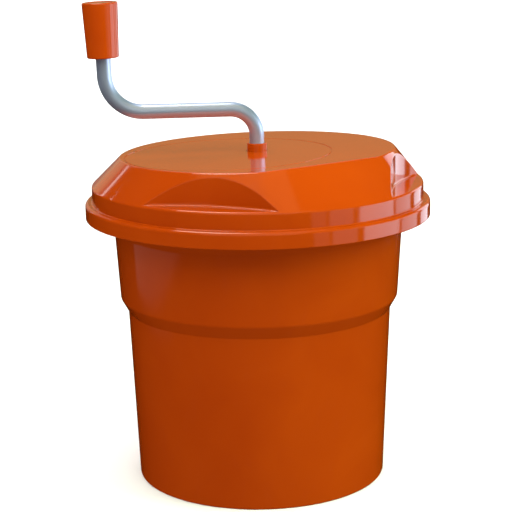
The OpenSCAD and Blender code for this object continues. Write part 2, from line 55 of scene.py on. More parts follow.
def linear(hexColour):  # sRGB hex to the linear colour that Blender works in
    channels = [int(hexColour[i:i + 2], 16) / 255 for i in (1, 3, 5)]
    return [c / 12.92 if c <= 0.04045 else ((c + 0.055) / 1.055) ** 2.4 for c in channels] + [1.0]


def perPattern(millimetres):  # texture scale for a pattern that repeats at this real size
    return 1000.0 / millimetres


def addNode(tree, kind, settings=None, links=None):
    node = tree.nodes.new(kind)
    for key, value in (settings or {}).items():
        if isinstance(key, str) and hasattr(node, key):
            setattr(node, key, value)
        else:
            node.inputs[key].default_value = value
    for key, source in (links or {}).items():
        tree.links.new(source, node.inputs[key])
    return node


def newMaterial(name, shaderSettings):
    material = bpy.data.materials.new(name)
    material.use_nodes = True
    tree = material.node_tree
    shader = tree.nodes["Principled BSDF"]
    for key, value in shaderSettings.items():
        shader.inputs[key].default_value = value
    return material, tree, shader


def mouldedPolypropylene(name, look):
    # Glossy injection-moulded polypropylene: a saturated body colour with soft flow marks, clear
    # reflections that waver a little with the mould, and hairline scuffs that dull them here and there.
    material, tree, shader = newMaterial(name, {
        "IOR": 1.49, "Specular IOR Level": look["gloss"], "Roughness": look["roughness"]})
    place = addNode(tree, "ShaderNodeTexCoord").outputs["Object"]
    flow = addNode(tree, "ShaderNodeTexNoise", {
        "Scale": perPattern(look["flowMm"]), "Detail": 3.0, "Distortion": 0.6}, {"Vector": place})
    flowShare = addNode(tree, "ShaderNodeMapRange", {"From Min": 0.3, "From Max": 0.7},
                        {"Value": flow.outputs["Fac"]})
    body = addNode(tree, "ShaderNodeMix", {
        "data_type": "RGBA", 6: linear(look["deep"]), 7: linear(look["pale"])},
        {0: flowShare.outputs["Result"]})
    tree.links.new(body.outputs[2], shader.inputs["Base Color"])

    stretched = addNode(tree, "ShaderNodeMapping", {"Scale": (1.0, 1.0, 0.14), "Rotation": (0.5, 0.3, 0.2)},
                        {"Vector": place})
    scuff = addNode(tree, "ShaderNodeTexNoise", {
        "Scale": perPattern(look["scuffMm"]), "Detail": 5.0, "Roughness": 0.7},
        {"Vector": stretched.outputs[0]})
    dulled = addNode(tree, "ShaderNodeMapRange", {
        "From Min": 0.55, "From Max": 0.8,
        "To Min": look["roughness"], "To Max": look["roughness"] + look["wear"]},
        {"Value": scuff.outputs["Fac"]})
    tree.links.new(dulled.outputs["Result"], shader.inputs["Roughness"])

    wave = addNode(tree, "ShaderNodeTexNoise", {
        "Scale": perPattern(look["waveMm"]), "Detail": 1.0}, {"Vector": place})
    peel = addNode(tree, "ShaderNodeTexNoise", {
        "Scale": perPattern(look["peelMm"]), "Detail": 2.0}, {"Vector": place})
    mould = addNode(tree, "ShaderNodeBump", {"Strength": 1.0, "Distance": metres(look["waveDepthMm"])},
                    {"Height": wave.outputs["Fac"]})
    skin = addNode(tree, "ShaderNodeBump", {"Strength": 1.0, "Distance": metres(look["peelDepthMm"])},
                   {"Height": peel.outputs["Fac"], "Normal": mould.outputs["Normal"]})
    tree.links.new(skin.outputs["Normal"], shader.inputs["Normal"])
    return material


def satinMetal(name, look):
    # A metal with its finishing lines: they run along the piece's own length, break up the roughness
    # and catch the light as a soft streak.
    material, tree, shader = newMaterial(name, {
        "Metallic": look["metallic"], "Roughness": look["roughness"], "Base Color": linear(look["colour"])})
    place = addNode(tree, "ShaderNodeTexCoord").outputs[look["coordinates"]]
    along = addNode(tree, "ShaderNodeMapping", {"Scale": look["lineScale"]}, {"Vector": place})
    lines = addNode(tree, "ShaderNodeTexNoise", {"Scale": 1.0, "Detail": 4.0, "Roughness": 0.6},
                    {"Vector": along.outputs[0]})
    tone = addNode(tree, "ShaderNodeMix", {
        "data_type": "RGBA", 6: linear(look["colour"]), 7: linear(look["shade"])}, {0: lines.outputs["Fac"]})
    tree.links.new(tone.outputs[2], shader.inputs["Base Color"])
    satin = addNode(tree, "ShaderNodeMapRange", {
        "From Min": 0.3, "From Max": 0.7,
        "To Min": look["roughness"] - look["smoother"], "To Max": look["roughness"] + look["rougher"]},
        {"Value": lines.outputs["Fac"]})
    tree.links.new(satin.outputs["Result"], shader.inputs["Roughness"])
    grooves = addNode(tree, "ShaderNodeBump", {"Strength": 1.0, "Distance": metres(look["lineDepthMm"])},
                      {"Height": lines.outputs["Fac"]})
    tree.links.new(grooves.outputs["Normal"], shader.inputs["Normal"])
    return material


def grainedSolid(name, look):
    # A matt moulded or sintered surface: a fine even grain with slight clouds in its tone.
    material, tree, shader = newMaterial(name, {
        "IOR": look["ior"], "Roughness": look["roughness"], "Metallic": look["metallic"],
        "Subsurface Weight": look["translucence"], "Subsurface Scale": metres(3)})
    place = addNode(tree, "ShaderNodeTexCoord").outputs["Object"]
    cloud = addNode(tree, "ShaderNodeTexNoise", {
        "Scale": perPattern(look["cloudMm"]), "Detail": 3.0}, {"Vector": place})
    tone = addNode(tree, "ShaderNodeMix", {
        "data_type": "RGBA", 6: linear(look["colour"]), 7: linear(look["shade"])}, {0: cloud.outputs["Fac"]})
    tree.links.new(tone.outputs[2], shader.inputs["Base Color"])
    grain = addNode(tree, "ShaderNodeTexNoise", {
        "Scale": perPattern(look["grainMm"]), "Detail": 2.0}, {"Vector": place})
    spread = 0.08  # how far the grain moves the roughness either way
    rough = addNode(tree, "ShaderNodeMapRange", {
        "To Min": look["roughness"] - spread, "To Max": look["roughness"] + spread},
        {"Value": grain.outputs["Fac"]})
    tree.links.new(rough.outputs["Result"], shader.inputs["Roughness"])
    pits = addNode(tree, "ShaderNodeBump", {"Strength": 1.0, "Distance": metres(look["grainDepthMm"])},
                   {"Height": grain.outputs["Fac"]})
    tree.links.new(pits.outputs["Normal"], shader.inputs["Normal"])
    return material


orangeLook = {
    "deep": "#ac3a03", "pale": "#b44004", "flowMm": 90,  # flow marks run over a hand's width
    "gloss": 0.5, "roughness": 0.09, "scuffMm": 5, "wear": 0.12,  # scuffs drawn out to seven times this
    "waveMm": 45, "waveDepthMm": 0.05,  # sink and warp of a big moulding
    "peelMm": 2.2, "peelDepthMm": 0.0016,  # drawn a little coarser than the real skin, so that it shows
}
orangePolypropylene = mouldedPolypropylene("orangePolypropylene", orangeLook)
naturalPolypropylene = mouldedPolypropylene("naturalPolypropylene", {  # no dye: milky and less shiny
    **orangeLook, "deep": "#e2e0d8", "pale": "#edece6", "flowMm": 60, "roughness": 0.24, "gloss": 0.45})
acetal = grainedSolid("acetal", {  # dense white gear plastic, waxy and even
    "colour": "#efeee8", "shade": "#e4e2d9", "cloudMm": 25, "grainMm": 0.8, "grainDepthMm": 0.004,
    "ior": 1.48, "roughness": 0.34, "metallic": 0.0, "translucence": 0.1})
sinteredBronze = grainedSolid("sinteredBronze", {  # pressed powder, so its surface is full of pores
    "colour": "#a67c48", "shade": "#8d6536", "cloudMm": 6, "grainMm": 0.5, "grainDepthMm": 0.02,
    "ior": 1.5, "roughness": 0.42, "metallic": 1.0, "translucence": 0.0})
sealRubber = grainedSolid("sealRubber", {  # moulded rubber with a dusty bloom
    "colour": "#1d1d1f", "shade": "#29292b", "cloudMm": 12, "grainMm": 0.7, "grainDepthMm": 0.01,
    "ior": 1.5, "roughness": 0.7, "metallic": 0.0, "translucence": 0.0})
anodisedAluminium = satinMetal("anodisedAluminium", {  # drawn tube: lines along it under a satin finish; its cool blue tint is painted reflection of cool window light
    "colour": "#c6d0ea", "shade": "#b4c0de", "metallic": 0.75, "roughness": 0.34,
    "smoother": 0.06, "rougher": 0.08, "coordinates": "UV", "lineScale": (90.0, 5.0, 1.0),
    "lineDepthMm": 0.004})
turnedSteel = satinMetal("turnedSteel", {  # turned on a lathe: fine rings round its axis
    "colour": "#c3c5c8", "shade": "#a9abae", "metallic": 1.0, "roughness": 0.26,
    "smoother": 0.06, "rougher": 0.08, "coordinates": "Object", "lineScale": (60.0, 60.0, 2600.0),
    "lineDepthMm": 0.004})
bySlot = {
    "orange_plastic": orangePolypropylene, "white_plastic": naturalPolypropylene, "gear_plastic": acetal,
    "steel": turnedSteel, "bush": sinteredBronze, "anodised_aluminium": anodisedAluminium,
    "seal_rubber": sealRubber,
}
for part in frame["record"]["subparts"]:  # the pieces that only CAD makes wear the same finishes
    cadPiece = frame["nodes"][part["node"]]
    cadPiece.data.materials.clear()
    cadPiece.data.materials.append(bySlot[part["material_slot"]])
print("materials ready:", len(bySlot))


def onArc(centre, radius, fromDegrees, toDegrees, steps):  # points of an arc, both ends included
    return [(centre[0] + radius * math.cos(math.radians(fromDegrees + (toDegrees - fromDegrees) * i / steps)),
             centre[1] + radius * math.sin(math.radians(fromDegrees + (toDegrees - fromDegrees) * i / steps)))
            for i in range(steps + 1)]


def rounded(corners, steps=6):
    # Corners are (radius from the axis, height, fillet); each fillet becomes an arc of that radius
    outline = []
    count = len(corners)
    for i, (x, z, fillet) in enumerate(corners):
        here = Vector((x, z))
        back = Vector(corners[i - 1][:2]) - here
        on = Vector(corners[(i + 1) % count][:2]) - here
        if fillet <= 0 or back.length < 1e-6 or on.length < 1e-6:
            outline.append((x, z))
            continue
        half = back.angle(on) / 2
        run = min(fillet / math.tan(half), 0.49 * back.length, 0.49 * on.length)
        first, last = here + back.normalized() * run, here + on.normalized() * run
        centre = here + (back.normalized() + on.normalized()).normalized() * (run / math.cos(half))
        start, end = first - centre, last - centre
        sweep = math.atan2(start.x * end.y - start.y * end.x, start.dot(end))
        for k in range(steps + 1):
            turn = sweep * k / steps
            outline.append((centre.x + start.x * math.cos(turn) - start.y * math.sin(turn),
                            centre.y + start.x * math.sin(turn) + start.y * math.cos(turn)))
    return outline


def joinLoops(mesh, loops):
    # Quads between one closed loop of vertices and the next; a loop of one vertex is a pole
    for a, b in zip(loops, loops[1:]):
        count = max(len(a), len(b))
        for i in range(count):
            j = (i + 1) % count
            corners = [a[i % len(a)], a[j % len(a)], b[j % len(b)], b[i % len(b)]]
            distinct = [v for k, v in enumerate(corners) if v is not corners[k - 1]]
            if len(distinct) > 2:
                mesh.faces.new(distinct)


def turned(mesh, outline, segments, matrix=Matrix.Identity(4)):
    # A closed outline turned round the axis of the given frame
    loops = []
    for x, z in outline:
        count = 1 if x < 1e-6 else segments
        turns = [2 * math.pi * i / segments for i in range(count)]
        loops.append([mesh.verts.new(matrix @ Vector((
            metres(x) * math.cos(turn), metres(x) * math.sin(turn), metres(z)))) for turn in turns])
    if outline[0][0] >= 1e-6 or outline[-1][0] >= 1e-6:
        loops.append(loops[0])
    joinLoops(mesh, loops)


def makePiece(name, mesh, material, body, replaced, sharpDegrees=35):
    # The bmesh becomes a smooth-shaded object that rides on its body in place of the CAD pieces
    bmesh.ops.remove_doubles(mesh, verts=mesh.verts, dist=1e-7)
    bmesh.ops.dissolve_degenerate(mesh, edges=mesh.edges, dist=1e-8)
    bmesh.ops.recalc_face_normals(mesh, faces=mesh.faces)
    data = bpy.data.meshes.new(name)
    mesh.to_mesh(data)
    mesh.free()
    data.polygons.foreach_set("use_smooth", [True] * len(data.polygons))
    data.set_sharp_from_angle(angle=math.radians(sharpDegrees))
    piece = bpy.data.objects.new(name, data)
    scene.collection.objects.link(piece)
    data.materials.append(material)
    weighting = piece.modifiers.new("faceWeights", "WEIGHTED_NORMAL")
    weighting.keep_sharp = True
    weighting.weight = 100
    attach(piece, body)
    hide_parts(*replaced)
    print("built", name, len(data.vertices), "vertices")
    return piece


tubSizes = {
    "footRadius": 120.3, "footWidth": 8, "footHeight": 2.5, "height": 269, "wall": 3,
    "stepHeight": 166.2, "lowerDraft": 6.8, "stepWidth": 7, "stepRise": 12.4, "upperDraft": 3.9,
    "flareRadius": 12, "rimReach": 10.4, "lipHeight": 13, "bossRadius": 13, "bossTop": 17, "pinRadius": 5,
    "pinDepth": 10, "stepEdge": 7, "stepHollow": 2.2, "footEdge": 1.8, "lipEdge": 0.8, "rimEdge": 0.6,
    "lipHollow": 1, "footHollow": 0.8, "stepInside": 4, "floorHollow": 5, "bossHollow": 2, "bossEdge": 0.5,
    "flareSteps": 12, "segments": 288,
}


def buildTub(s):
    # One closed outline, outside and inside of the wall with the flared rim and the pin's boss, turned round
    wall, floorTop = s["wall"], s["footHeight"] + s["wall"]
    stepRadius = s["footRadius"] + s["lowerDraft"]
    shoulder = stepRadius + s["stepWidth"]
    flareStart = shoulder + s["upperDraft"]
    flangeHeight = s["height"] - s["lipHeight"]
    flareCentre = (flareStart + s["flareRadius"], flangeHeight - s["flareRadius"])
    rim = flareCentre[0] + s["rimReach"]
    top = s["height"]
    outside = rounded([
        (0, s["footHeight"], 0), (s["footRadius"] - s["footWidth"], s["footHeight"], s["footHollow"]),
        (s["footRadius"] - s["footWidth"], 0, s["footHollow"]), (s["footRadius"], 0, s["footEdge"]),
        (stepRadius, s["stepHeight"], s["stepHollow"]),
        (shoulder, s["stepHeight"] + s["stepRise"], s["stepEdge"]), (flareStart, flareCentre[1], 0)])
    lip = rounded([
        (flareCentre[0], flangeHeight, 0), (rim, flangeHeight, s["rimEdge"]), (rim, top, s["lipEdge"]),
        (rim - wall, top, s["lipEdge"]), (rim - wall, flangeHeight + wall, s["lipHollow"]),
        (flareCentre[0], flangeHeight + wall, 0)])
    inside = rounded([
        (flareStart - wall, flareCentre[1], 0),
        (shoulder - wall, s["stepHeight"] + s["stepRise"], s["stepInside"]),
        (stepRadius - wall, s["stepHeight"], s["stepInside"]),
        (s["footRadius"] - wall, floorTop, s["floorHollow"]), (s["bossRadius"], floorTop, s["bossHollow"]),
        (s["bossRadius"], s["bossTop"], s["bossEdge"]), (s["pinRadius"], s["bossTop"], 0),
        (s["pinRadius"], s["bossTop"] - s["pinDepth"], 0), (0, s["bossTop"] - s["pinDepth"], 0)])
    flareOut = onArc(flareCentre, s["flareRadius"], 180, 90, s["flareSteps"])[1:-1]
    flareIn = onArc(flareCentre, s["flareRadius"] + wall, 90, 180, s["flareSteps"])[1:-1]
    mesh = bmesh.new()
    turned(mesh, outside + flareOut + lip + flareIn + inside, s["segments"])
    return makePiece("tubShell", mesh, orangePolypropylene, "tub", ["tub"])


buildTub(tubSizes)


lidSizes = {
    "skirtRadius": 165, "skirtBottom": 256.6, "seat": 269, "wall": 3, "bandRadius": 158.4, "bandTop": 287,
    "topRadius": 131, "topHeight": 317.3, "slope": 1.6, "slopeAzimuth": 65,
    "flatReach": 115.5, "flatAzimuth": 30, "flatBlend": 2.5,  # the one straight side of the top face
    "recessAzimuths": (-17, 74), "recessRadius": 210, "recessOut": 3, "recessFloor": 288.5,
    "skirtEdge": 4, "skirtInEdge": 0.8, "skirtOutEdge": 0.9, "ledgeHollow": 1.2, "bandEdge": 2.4,
    "floorEdge": 1.8, "wallHollow": 2.2, "topEdge": 3, "edgeSteps": 5, "floorEdgeSteps": 4,
    "lineCentre": (-27.36, -14.55), "lineRadius": 98, "lineTop": 1.2, "lineFloor": 0.84, "lineDepth": 0.5,
    "hubHole": 9.9, "hubHoleMouth": 10.4, "hubHoleChamfer": 0.4,
    "bushSeat": 12.5, "bushSeatTop": 316.3, "bossRadius": 17.5, "bossBottom": 307,
    "smallBossEdge": 0.4, "smallBossSegments": 40,
    "layBoss": (-74.17, -39.44, 8, 4, 303.8, 7),  # x, y, radius, bore, bottom, depth of the bore
    "fixingBoss": (4.5, 2, 282.4, 14), "fixingRing": 93, "fixingAngles": (50, 95, 135, -50, -95, -135),
    "trainAngle": 208, "azimuthStep": 0.5, "tipOffsets": (-0.3, -0.15, -0.06, 0.0, 0.06, 0.15, 0.3),
}


def crossing(normalA, offsetA, normalB, offsetB):  # where two lines of the r-z plane meet
    span = normalA[0] * normalB[1] - normalA[1] * normalB[0]
    return ((offsetA * normalB[1] - offsetB * normalA[1]) / span,
            (offsetB * normalA[0] - offsetA * normalB[0]) / span)


def softLess(a, b, blend):  # the lesser of two lengths, with the change from one to the other rounded
    share = max(blend - abs(a - b), 0) / blend
    return min(a, b) - share * share * blend / 4


def topOutline(s, azimuth):  # reach of the top face from the axis, with its straight side
    aside = math.cos(math.radians(azimuth - s["flatAzimuth"]))
    if aside < 0.3:  # the straight side is nowhere near
        return s["topRadius"]
    return softLess(s["topRadius"], s["flatReach"] / aside, s["flatBlend"])


def topPlane(s, point, depth=0.0):  # height of the sloping top face over a point, or that far below it
    return (s["topHeight"] - depth
            + math.tan(math.radians(s["slope"])) * Vector(point).dot(heading(s["slopeAzimuth"])))


def recessReach(s, azimuth, grown=0.0):  # from the axis to a recess's back wall, or None outside it
    centre, radius = s["topRadius"] + s["recessOut"] + s["recessRadius"], s["recessRadius"] + grown
    for middle in s["recessAzimuths"]:
        turn = math.radians((azimuth - middle + 180) % 360 - 180)
        if abs(turn) < 0.6 and abs(centre * math.sin(turn)) < radius:  # this recess's own side of the lid
            return centre * math.cos(turn) - math.sqrt(radius ** 2 - (centre * math.sin(turn)) ** 2)
    return None


def recessTip(s, middle, side):  # azimuth where a recess's wall runs out on the cone
    low, high = 0.0, 34.0  # degrees from the recess's middle, halved until they meet
    for _ in range(40):
        turn = (low + high) / 2
        azimuth = middle + side * turn
        reach = topOutline(s, azimuth)
        rise = (topPlane(s, reach * heading(azimuth)) - s["bandTop"]) / (s["bandRadius"] - reach)
        inside = recessReach(s, azimuth) < s["bandRadius"] - (s["recessFloor"] - s["bandTop"]) / rise
        low, high = (turn, high) if inside else (low, turn)
    return middle + side * low


def lidColumn(s, azimuth):
    # The lid's outer line over one direction, from the band's top to the top face, all its edges rounded
    reach = topOutline(s, azimuth)
    topEdge = (reach, topPlane(s, reach * heading(azimuth)))
    lean = math.degrees(math.atan2(s["bandRadius"] - reach, topEdge[1] - s["bandTop"]))
    cone = (math.cos(math.radians(lean)), math.sin(math.radians(lean)))
    coneOffset = cone[0] * s["bandRadius"] + cone[1] * s["bandTop"]
    upright = 90 + math.degrees(math.atan(
        math.tan(math.radians(s["slope"])) * math.cos(math.radians(azimuth - s["slopeAzimuth"]))))
    plane = (math.cos(math.radians(upright)), math.sin(math.radians(upright)))
    planeOffset = plane[0] * topEdge[0] + plane[1] * topEdge[1]
    bandEdge, topRound, steps = s["bandEdge"], s["topEdge"], s["edgeSteps"]
    bandCentre = crossing((1, 0), s["bandRadius"] - bandEdge, cone, coneOffset - bandEdge)
    line = onArc(bandCentre, bandEdge, 0, lean, steps)
    atFloor = crossing(cone, coneOffset, (0, 1), s["recessFloor"])
    back = recessReach(s, azimuth)
    centreB = crossing(cone, coneOffset - topRound, plane, planeOffset - topRound)
    if back is None or back > atFloor[0] - 0.02:  # no recess here: its points fall together on the cone
        line += [atFloor] * (s["floorEdgeSteps"] + 1 + 2 * (steps + 1))
        return line + onArc(centreB, topRound, lean, upright, steps)
    wallTop = crossing((1, 0), back, cone, coneOffset)[1]
    room = min(atFloor[0] - back, wallTop - s["recessFloor"])
    floorEdge, hollow = min(s["floorEdge"], room), min(s["wallHollow"], 0.45 * room)
    wallRound = min(topRound, 1.1 * room)
    floorCentre = crossing(cone, coneOffset - floorEdge, (0, 1), s["recessFloor"] - floorEdge)
    line += onArc(floorCentre, floorEdge, lean, 90, s["floorEdgeSteps"])
    line += onArc((back + hollow, s["recessFloor"] + hollow), hollow, 270, 180, steps)
    centreA = crossing((1, 0), back - wallRound, cone, coneOffset - wallRound)
    if wallRound == topRound and centreA[0] < centreB[0]:  # the wall reaches the top face's own edge
        centreA = centreB = crossing((1, 0), back - topRound, plane, planeOffset - topRound)
    line += onArc(centreA, wallRound, 0, lean, steps)
    return line + onArc(centreB, topRound, lean, upright, steps)


def lidInside(s, azimuth):
    # The same line on the inner face, from the seat up to the top wall's underside
    wall, reach = s["wall"], topOutline(s, azimuth)
    height = topPlane(s, reach * heading(azimuth))
    lean = math.atan2(s["bandRadius"] - reach, height - s["bandTop"])
    cone = (math.cos(lean), math.sin(lean))
    offset = cone[0] * s["bandRadius"] + cone[1] * s["bandTop"] - wall
    band = s["bandRadius"] - wall
    slope = math.tan(math.radians(s["slope"])) * math.cos(math.radians(azimuth - s["slopeAzimuth"]))
    plane = (-slope, 1.0)
    topInside = crossing(cone, offset, plane, s["topHeight"] - wall)
    low = s["recessFloor"] - wall
    back = recessReach(s, azimuth, wall)
    ledge = band - 0.4  # a small ledge where there's no recess keeps every column's points apart
    back = ledge if back is None else min(back, ledge)
    over = max(low, crossing((1, 0), back, cone, offset)[1])
    return [(band, s["seat"]), (band, low), (back, low), (back, over),
            topInside if topInside[0] < back else (back, topInside[1])]


def buildLid(s):
    # Columns of points all round, closer together where a recess runs out, joined into one closed shell
    tips = [recessTip(s, middle, side) for middle in s["recessAzimuths"] for side in (-1, 1)]
    half = round(180 / s["azimuthStep"])
    azimuths = sorted({round(a * s["azimuthStep"], 4) for a in range(-half, half)}
                      | {round(t + d, 4) for t in tips for d in s["tipOffsets"]})
    skirt, wall = s["skirtRadius"], s["wall"]
    below = rounded([
        (skirt - wall, s["seat"], 0), (skirt - wall, s["skirtBottom"], s["skirtInEdge"]),
        (skirt, s["skirtBottom"], s["skirtOutEdge"]),
        (skirt, s["seat"] + wall, s["skirtEdge"]), (s["bandRadius"], s["seat"] + wall, s["ledgeHollow"]),
        (s["bandRadius"], s["bandTop"] - 4, 0)])
    columns = [below + lidColumn(s, azimuth) for azimuth in azimuths]
    mesh = bmesh.new()

    def loopOf(points):  # each point is (x, y, z) in millimetres
        return [mesh.verts.new([metres(c) for c in p]) for p in points]

    def around(column):  # one (reach, height) for each azimuth
        return loopOf([(r * heading(a).x, r * heading(a).y, z) for a, (r, z) in zip(azimuths, column)])

    loops = [around([c[k] for c in columns]) for k in range(len(columns[0]))]

    # The top face: the line over the gear housing, then the hub's hole and the bush's seat
    rim = [Vector(v.co[:2]) * 1000 for v in loops[-1]]
    middle = Vector(s["lineCentre"])
    top, bottom, depth = s["lineTop"] / 2, s["lineFloor"] / 2, s["lineDepth"]
    for offset, sunk in ((top, 0), (bottom, depth), (-bottom, depth), (-top, 0)):
        ring = [middle + (p - middle).normalized() * (s["lineRadius"] + offset) for p in rim]
        loops.append(loopOf([(p.x, p.y, topPlane(s, p, sunk)) for p in ring]))

    def onFace(radius, depth):
        ring = [radius * heading(a) for a in azimuths]
        return loopOf([(p.x, p.y, topPlane(s, p, depth)) for p in ring])

    def level(radius, height):
        return around([(radius, height)] * len(azimuths))

    loops += [onFace(s["hubHoleMouth"], 0), onFace(s["hubHole"], s["hubHoleChamfer"]),
              level(s["hubHole"], s["bushSeatTop"]), level(s["bushSeat"], s["bushSeatTop"]),
              level(s["bushSeat"], s["bossBottom"]), level(s["bossRadius"], s["bossBottom"]),
              onFace(s["bossRadius"], wall)]
    inner = [lidInside(s, azimuth) for azimuth in azimuths]
    loops += [around([c[k] for c in inner]) for k in reversed(range(len(inner[0])))]
    loops.append(loops[0])
    joinLoops(mesh, loops)

    def boss(x, y, radius, bore, bottom, depth):  # hangs from inside the top wall, its bore open below
        top = topPlane(s, (x, y), s["wall"] / 2)
        outline = rounded([(radius, bottom, s["smallBossEdge"]), (radius, top, 0), (0, top, 0),
                           (0, bottom + depth, 0), (bore, bottom + depth, 0), (bore, bottom, 0)], 2)
        turned(mesh, outline, s["smallBossSegments"], Matrix.Translation((metres(x), metres(y), 0)))

    boss(*s["layBoss"])
    for angle in s["fixingAngles"]:
        turn = math.radians(s["trainAngle"] + angle)
        boss(middle.x + s["fixingRing"] * math.cos(turn), middle.y + s["fixingRing"] * math.sin(turn),
             *s["fixingBoss"])
    return makePiece("lidShell", mesh, orangePolypropylene, "lid", ["lid"])


buildLid(lidSizes)


crankSizes = {
    "turn": 5, "tubeRadius": 7, "tubeBore": 5, "spindleRadius": 6.95, "tubeBottom": 307, "armHeight": 357.3,
    "reach": 142.5, "footBend": 25, "endBend": 36, "lean": 1.7, "uprightToGrip": 16.8, "tubeTop": 52.5,
    "shankRings": (4, 9, 14, 17), "spindleRings": (17.2, 25, 35, 45),  # heights above the end bend
    "around": 56, "bendSteps": 30, "footSteps": 6, "armSteps": 16, "uvPerMm": 0.02,
    "hubRadius": 9.5, "hubTop": 324.8, "hubEdge": 0.7, "hubFlange": (17, 302.2, 305.2),
    "hubPilot": (10, 294.5), "hubSpigot": (4.05, 301.5), "hubMouthEdge": 0.4, "flangeEdge": 0.4,
    "flangeHollow": 0.5, "pilotEdge": 0.3, "hubSegments": 96,
}


def crankPlane(s, x, z):  # a point of the crank's own plane, in the frame
    turn = math.radians(s["turn"])
    return Vector((metres(x) * math.cos(turn), metres(x) * math.sin(turn), metres(z)))


def uprightFrame(s):  # origin at the end of the end bend, z along the upright
    turn = math.radians(s["turn"])
    lean = math.radians(s["lean"])
    centreX = -(s["reach"] - s["endBend"] * math.cos(lean))
    centreZ = s["armHeight"] + s["endBend"]
    origin = crankPlane(s, centreX - s["endBend"] * math.cos(lean), centreZ - s["endBend"] * math.sin(lean))
    spin = Matrix.Rotation(turn, 4, "Z") @ Matrix.Rotation(-lean, 4, "Y")
    return Matrix.Translation(origin) @ spin


def buildTube(s):
    centreX = -(s["reach"] - s["endBend"] * math.cos(math.radians(s["lean"])))
    footEnd = s["armHeight"] - s["footBend"]
    footRise = footEnd - s["tubeBottom"]
    path = [(0, s["tubeBottom"] + footRise * i / s["footSteps"]) for i in range(s["footSteps"])]
    path += onArc((-s["footBend"], footEnd), s["footBend"], 0, 90, s["bendSteps"])
    armRun = centreX + s["footBend"]
    path += [(-s["footBend"] + armRun * i / s["armSteps"], s["armHeight"]) for i in range(1, s["armSteps"])]
    path += onArc((centreX, s["armHeight"] + s["endBend"]), s["endBend"], 270, 180 + s["lean"],
                  s["bendSteps"])
    bendEnd = path[-1]
    lean = math.radians(s["lean"])
    path += [(bendEnd[0] - h * math.sin(lean), bendEnd[1] + h * math.cos(lean))
             for h in (*s["shankRings"], *s["spindleRings"], s["tubeTop"])]
    mesh = bmesh.new()
    uvLayer = mesh.loops.layers.uv.new("alongTube")
    across = Vector((-math.sin(math.radians(s["turn"])), math.cos(math.radians(s["turn"])), 0))
    lengths = [0.0]
    for a, b in zip(path, path[1:]):
        lengths.append(lengths[-1] + math.dist(a, b))

    def sleeve(radiusOf):
        rings = []
        for i, (x, z) in enumerate(path):
            before, after = path[max(i - 1, 0)], path[min(i + 1, len(path) - 1)]
            run = (crankPlane(s, *after) - crankPlane(s, *before)).normalized()
            side = run.cross(across)
            turns = [2 * math.pi * k / s["around"] for k in range(s["around"])]
            rings.append([mesh.verts.new(crankPlane(s, x, z) + metres(radiusOf(i)) * (
                side * math.cos(turn) + across * math.sin(turn))) for turn in turns])
        return rings

    spindleFrom = len(path) - len(s["spindleRings"]) - 1  # the grip turns on this thinner end
    outer = sleeve(lambda i: s["spindleRadius"] if i >= spindleFrom else s["tubeRadius"])
    inner = sleeve(lambda i: s["tubeBore"])
    for rings in (outer, inner):
        for i in range(len(rings) - 1):
            for k in range(s["around"]):
                j = (k + 1) % s["around"]
                face = mesh.faces.new([rings[i][k], rings[i][j], rings[i + 1][j], rings[i + 1][k]])
                for loop, (u, v) in zip(face.loops, ((k, i), (k + 1, i), (k + 1, i + 1), (k, i + 1))):
                    loop[uvLayer].uv = (u / s["around"], lengths[v] * s["uvPerMm"])
    for i in (0, -1):  # the tube's two end faces
        joinLoops(mesh, [outer[i], inner[i]])
    return makePiece("crankTube", mesh, anodisedAluminium, "crank", ["crank_tube"])


def buildHub(s):
    flangeRadius, flangeBottom, flangeTop = s["hubFlange"]
    pilotRadius, pilotBottom = s["hubPilot"]
    spigotRadius, spigotTop = s["hubSpigot"]
    mesh = bmesh.new()
    turned(mesh, rounded([
        (s["tubeRadius"], s["tubeBottom"], 0), (s["tubeRadius"], s["hubTop"], s["hubMouthEdge"]),
        (s["hubRadius"], s["hubTop"], s["hubEdge"]), (s["hubRadius"], flangeTop, s["flangeHollow"]),
        (flangeRadius, flangeTop, s["flangeEdge"]), (flangeRadius, flangeBottom, s["flangeEdge"]),
        (pilotRadius, flangeBottom, 0), (pilotRadius, pilotBottom, s["pilotEdge"]),
        (spigotRadius, pilotBottom, 0), (spigotRadius, spigotTop, 0), (0, spigotTop, 0),
        (0, s["tubeBottom"], 0)], 4), s["hubSegments"])
    return makePiece("crankHub", mesh, orangePolypropylene, "crank", ["crank_hub"])


buildTube(crankSizes)
buildHub(crankSizes)


gripSizes = {
    "length": 51.5, "bottomRadius": 14.9, "topRadius": 16.85, "bottomEdge": 1.2, "topEdge": 1.4, "bore": 7.0,
    "boreTop": 36, "webTop": 39, "screwRadius": 2.55, "chamberRadius": 10.5, "capSeat": 46.5, "capRadius": 12,
    "capTop": 51, "capCrown": 0.25, "capHollow": (8.5, 48), "capGap": 0.05, "capEdge": 0.6, "mouthEdge": 0.5,
    "segments": 128,
}


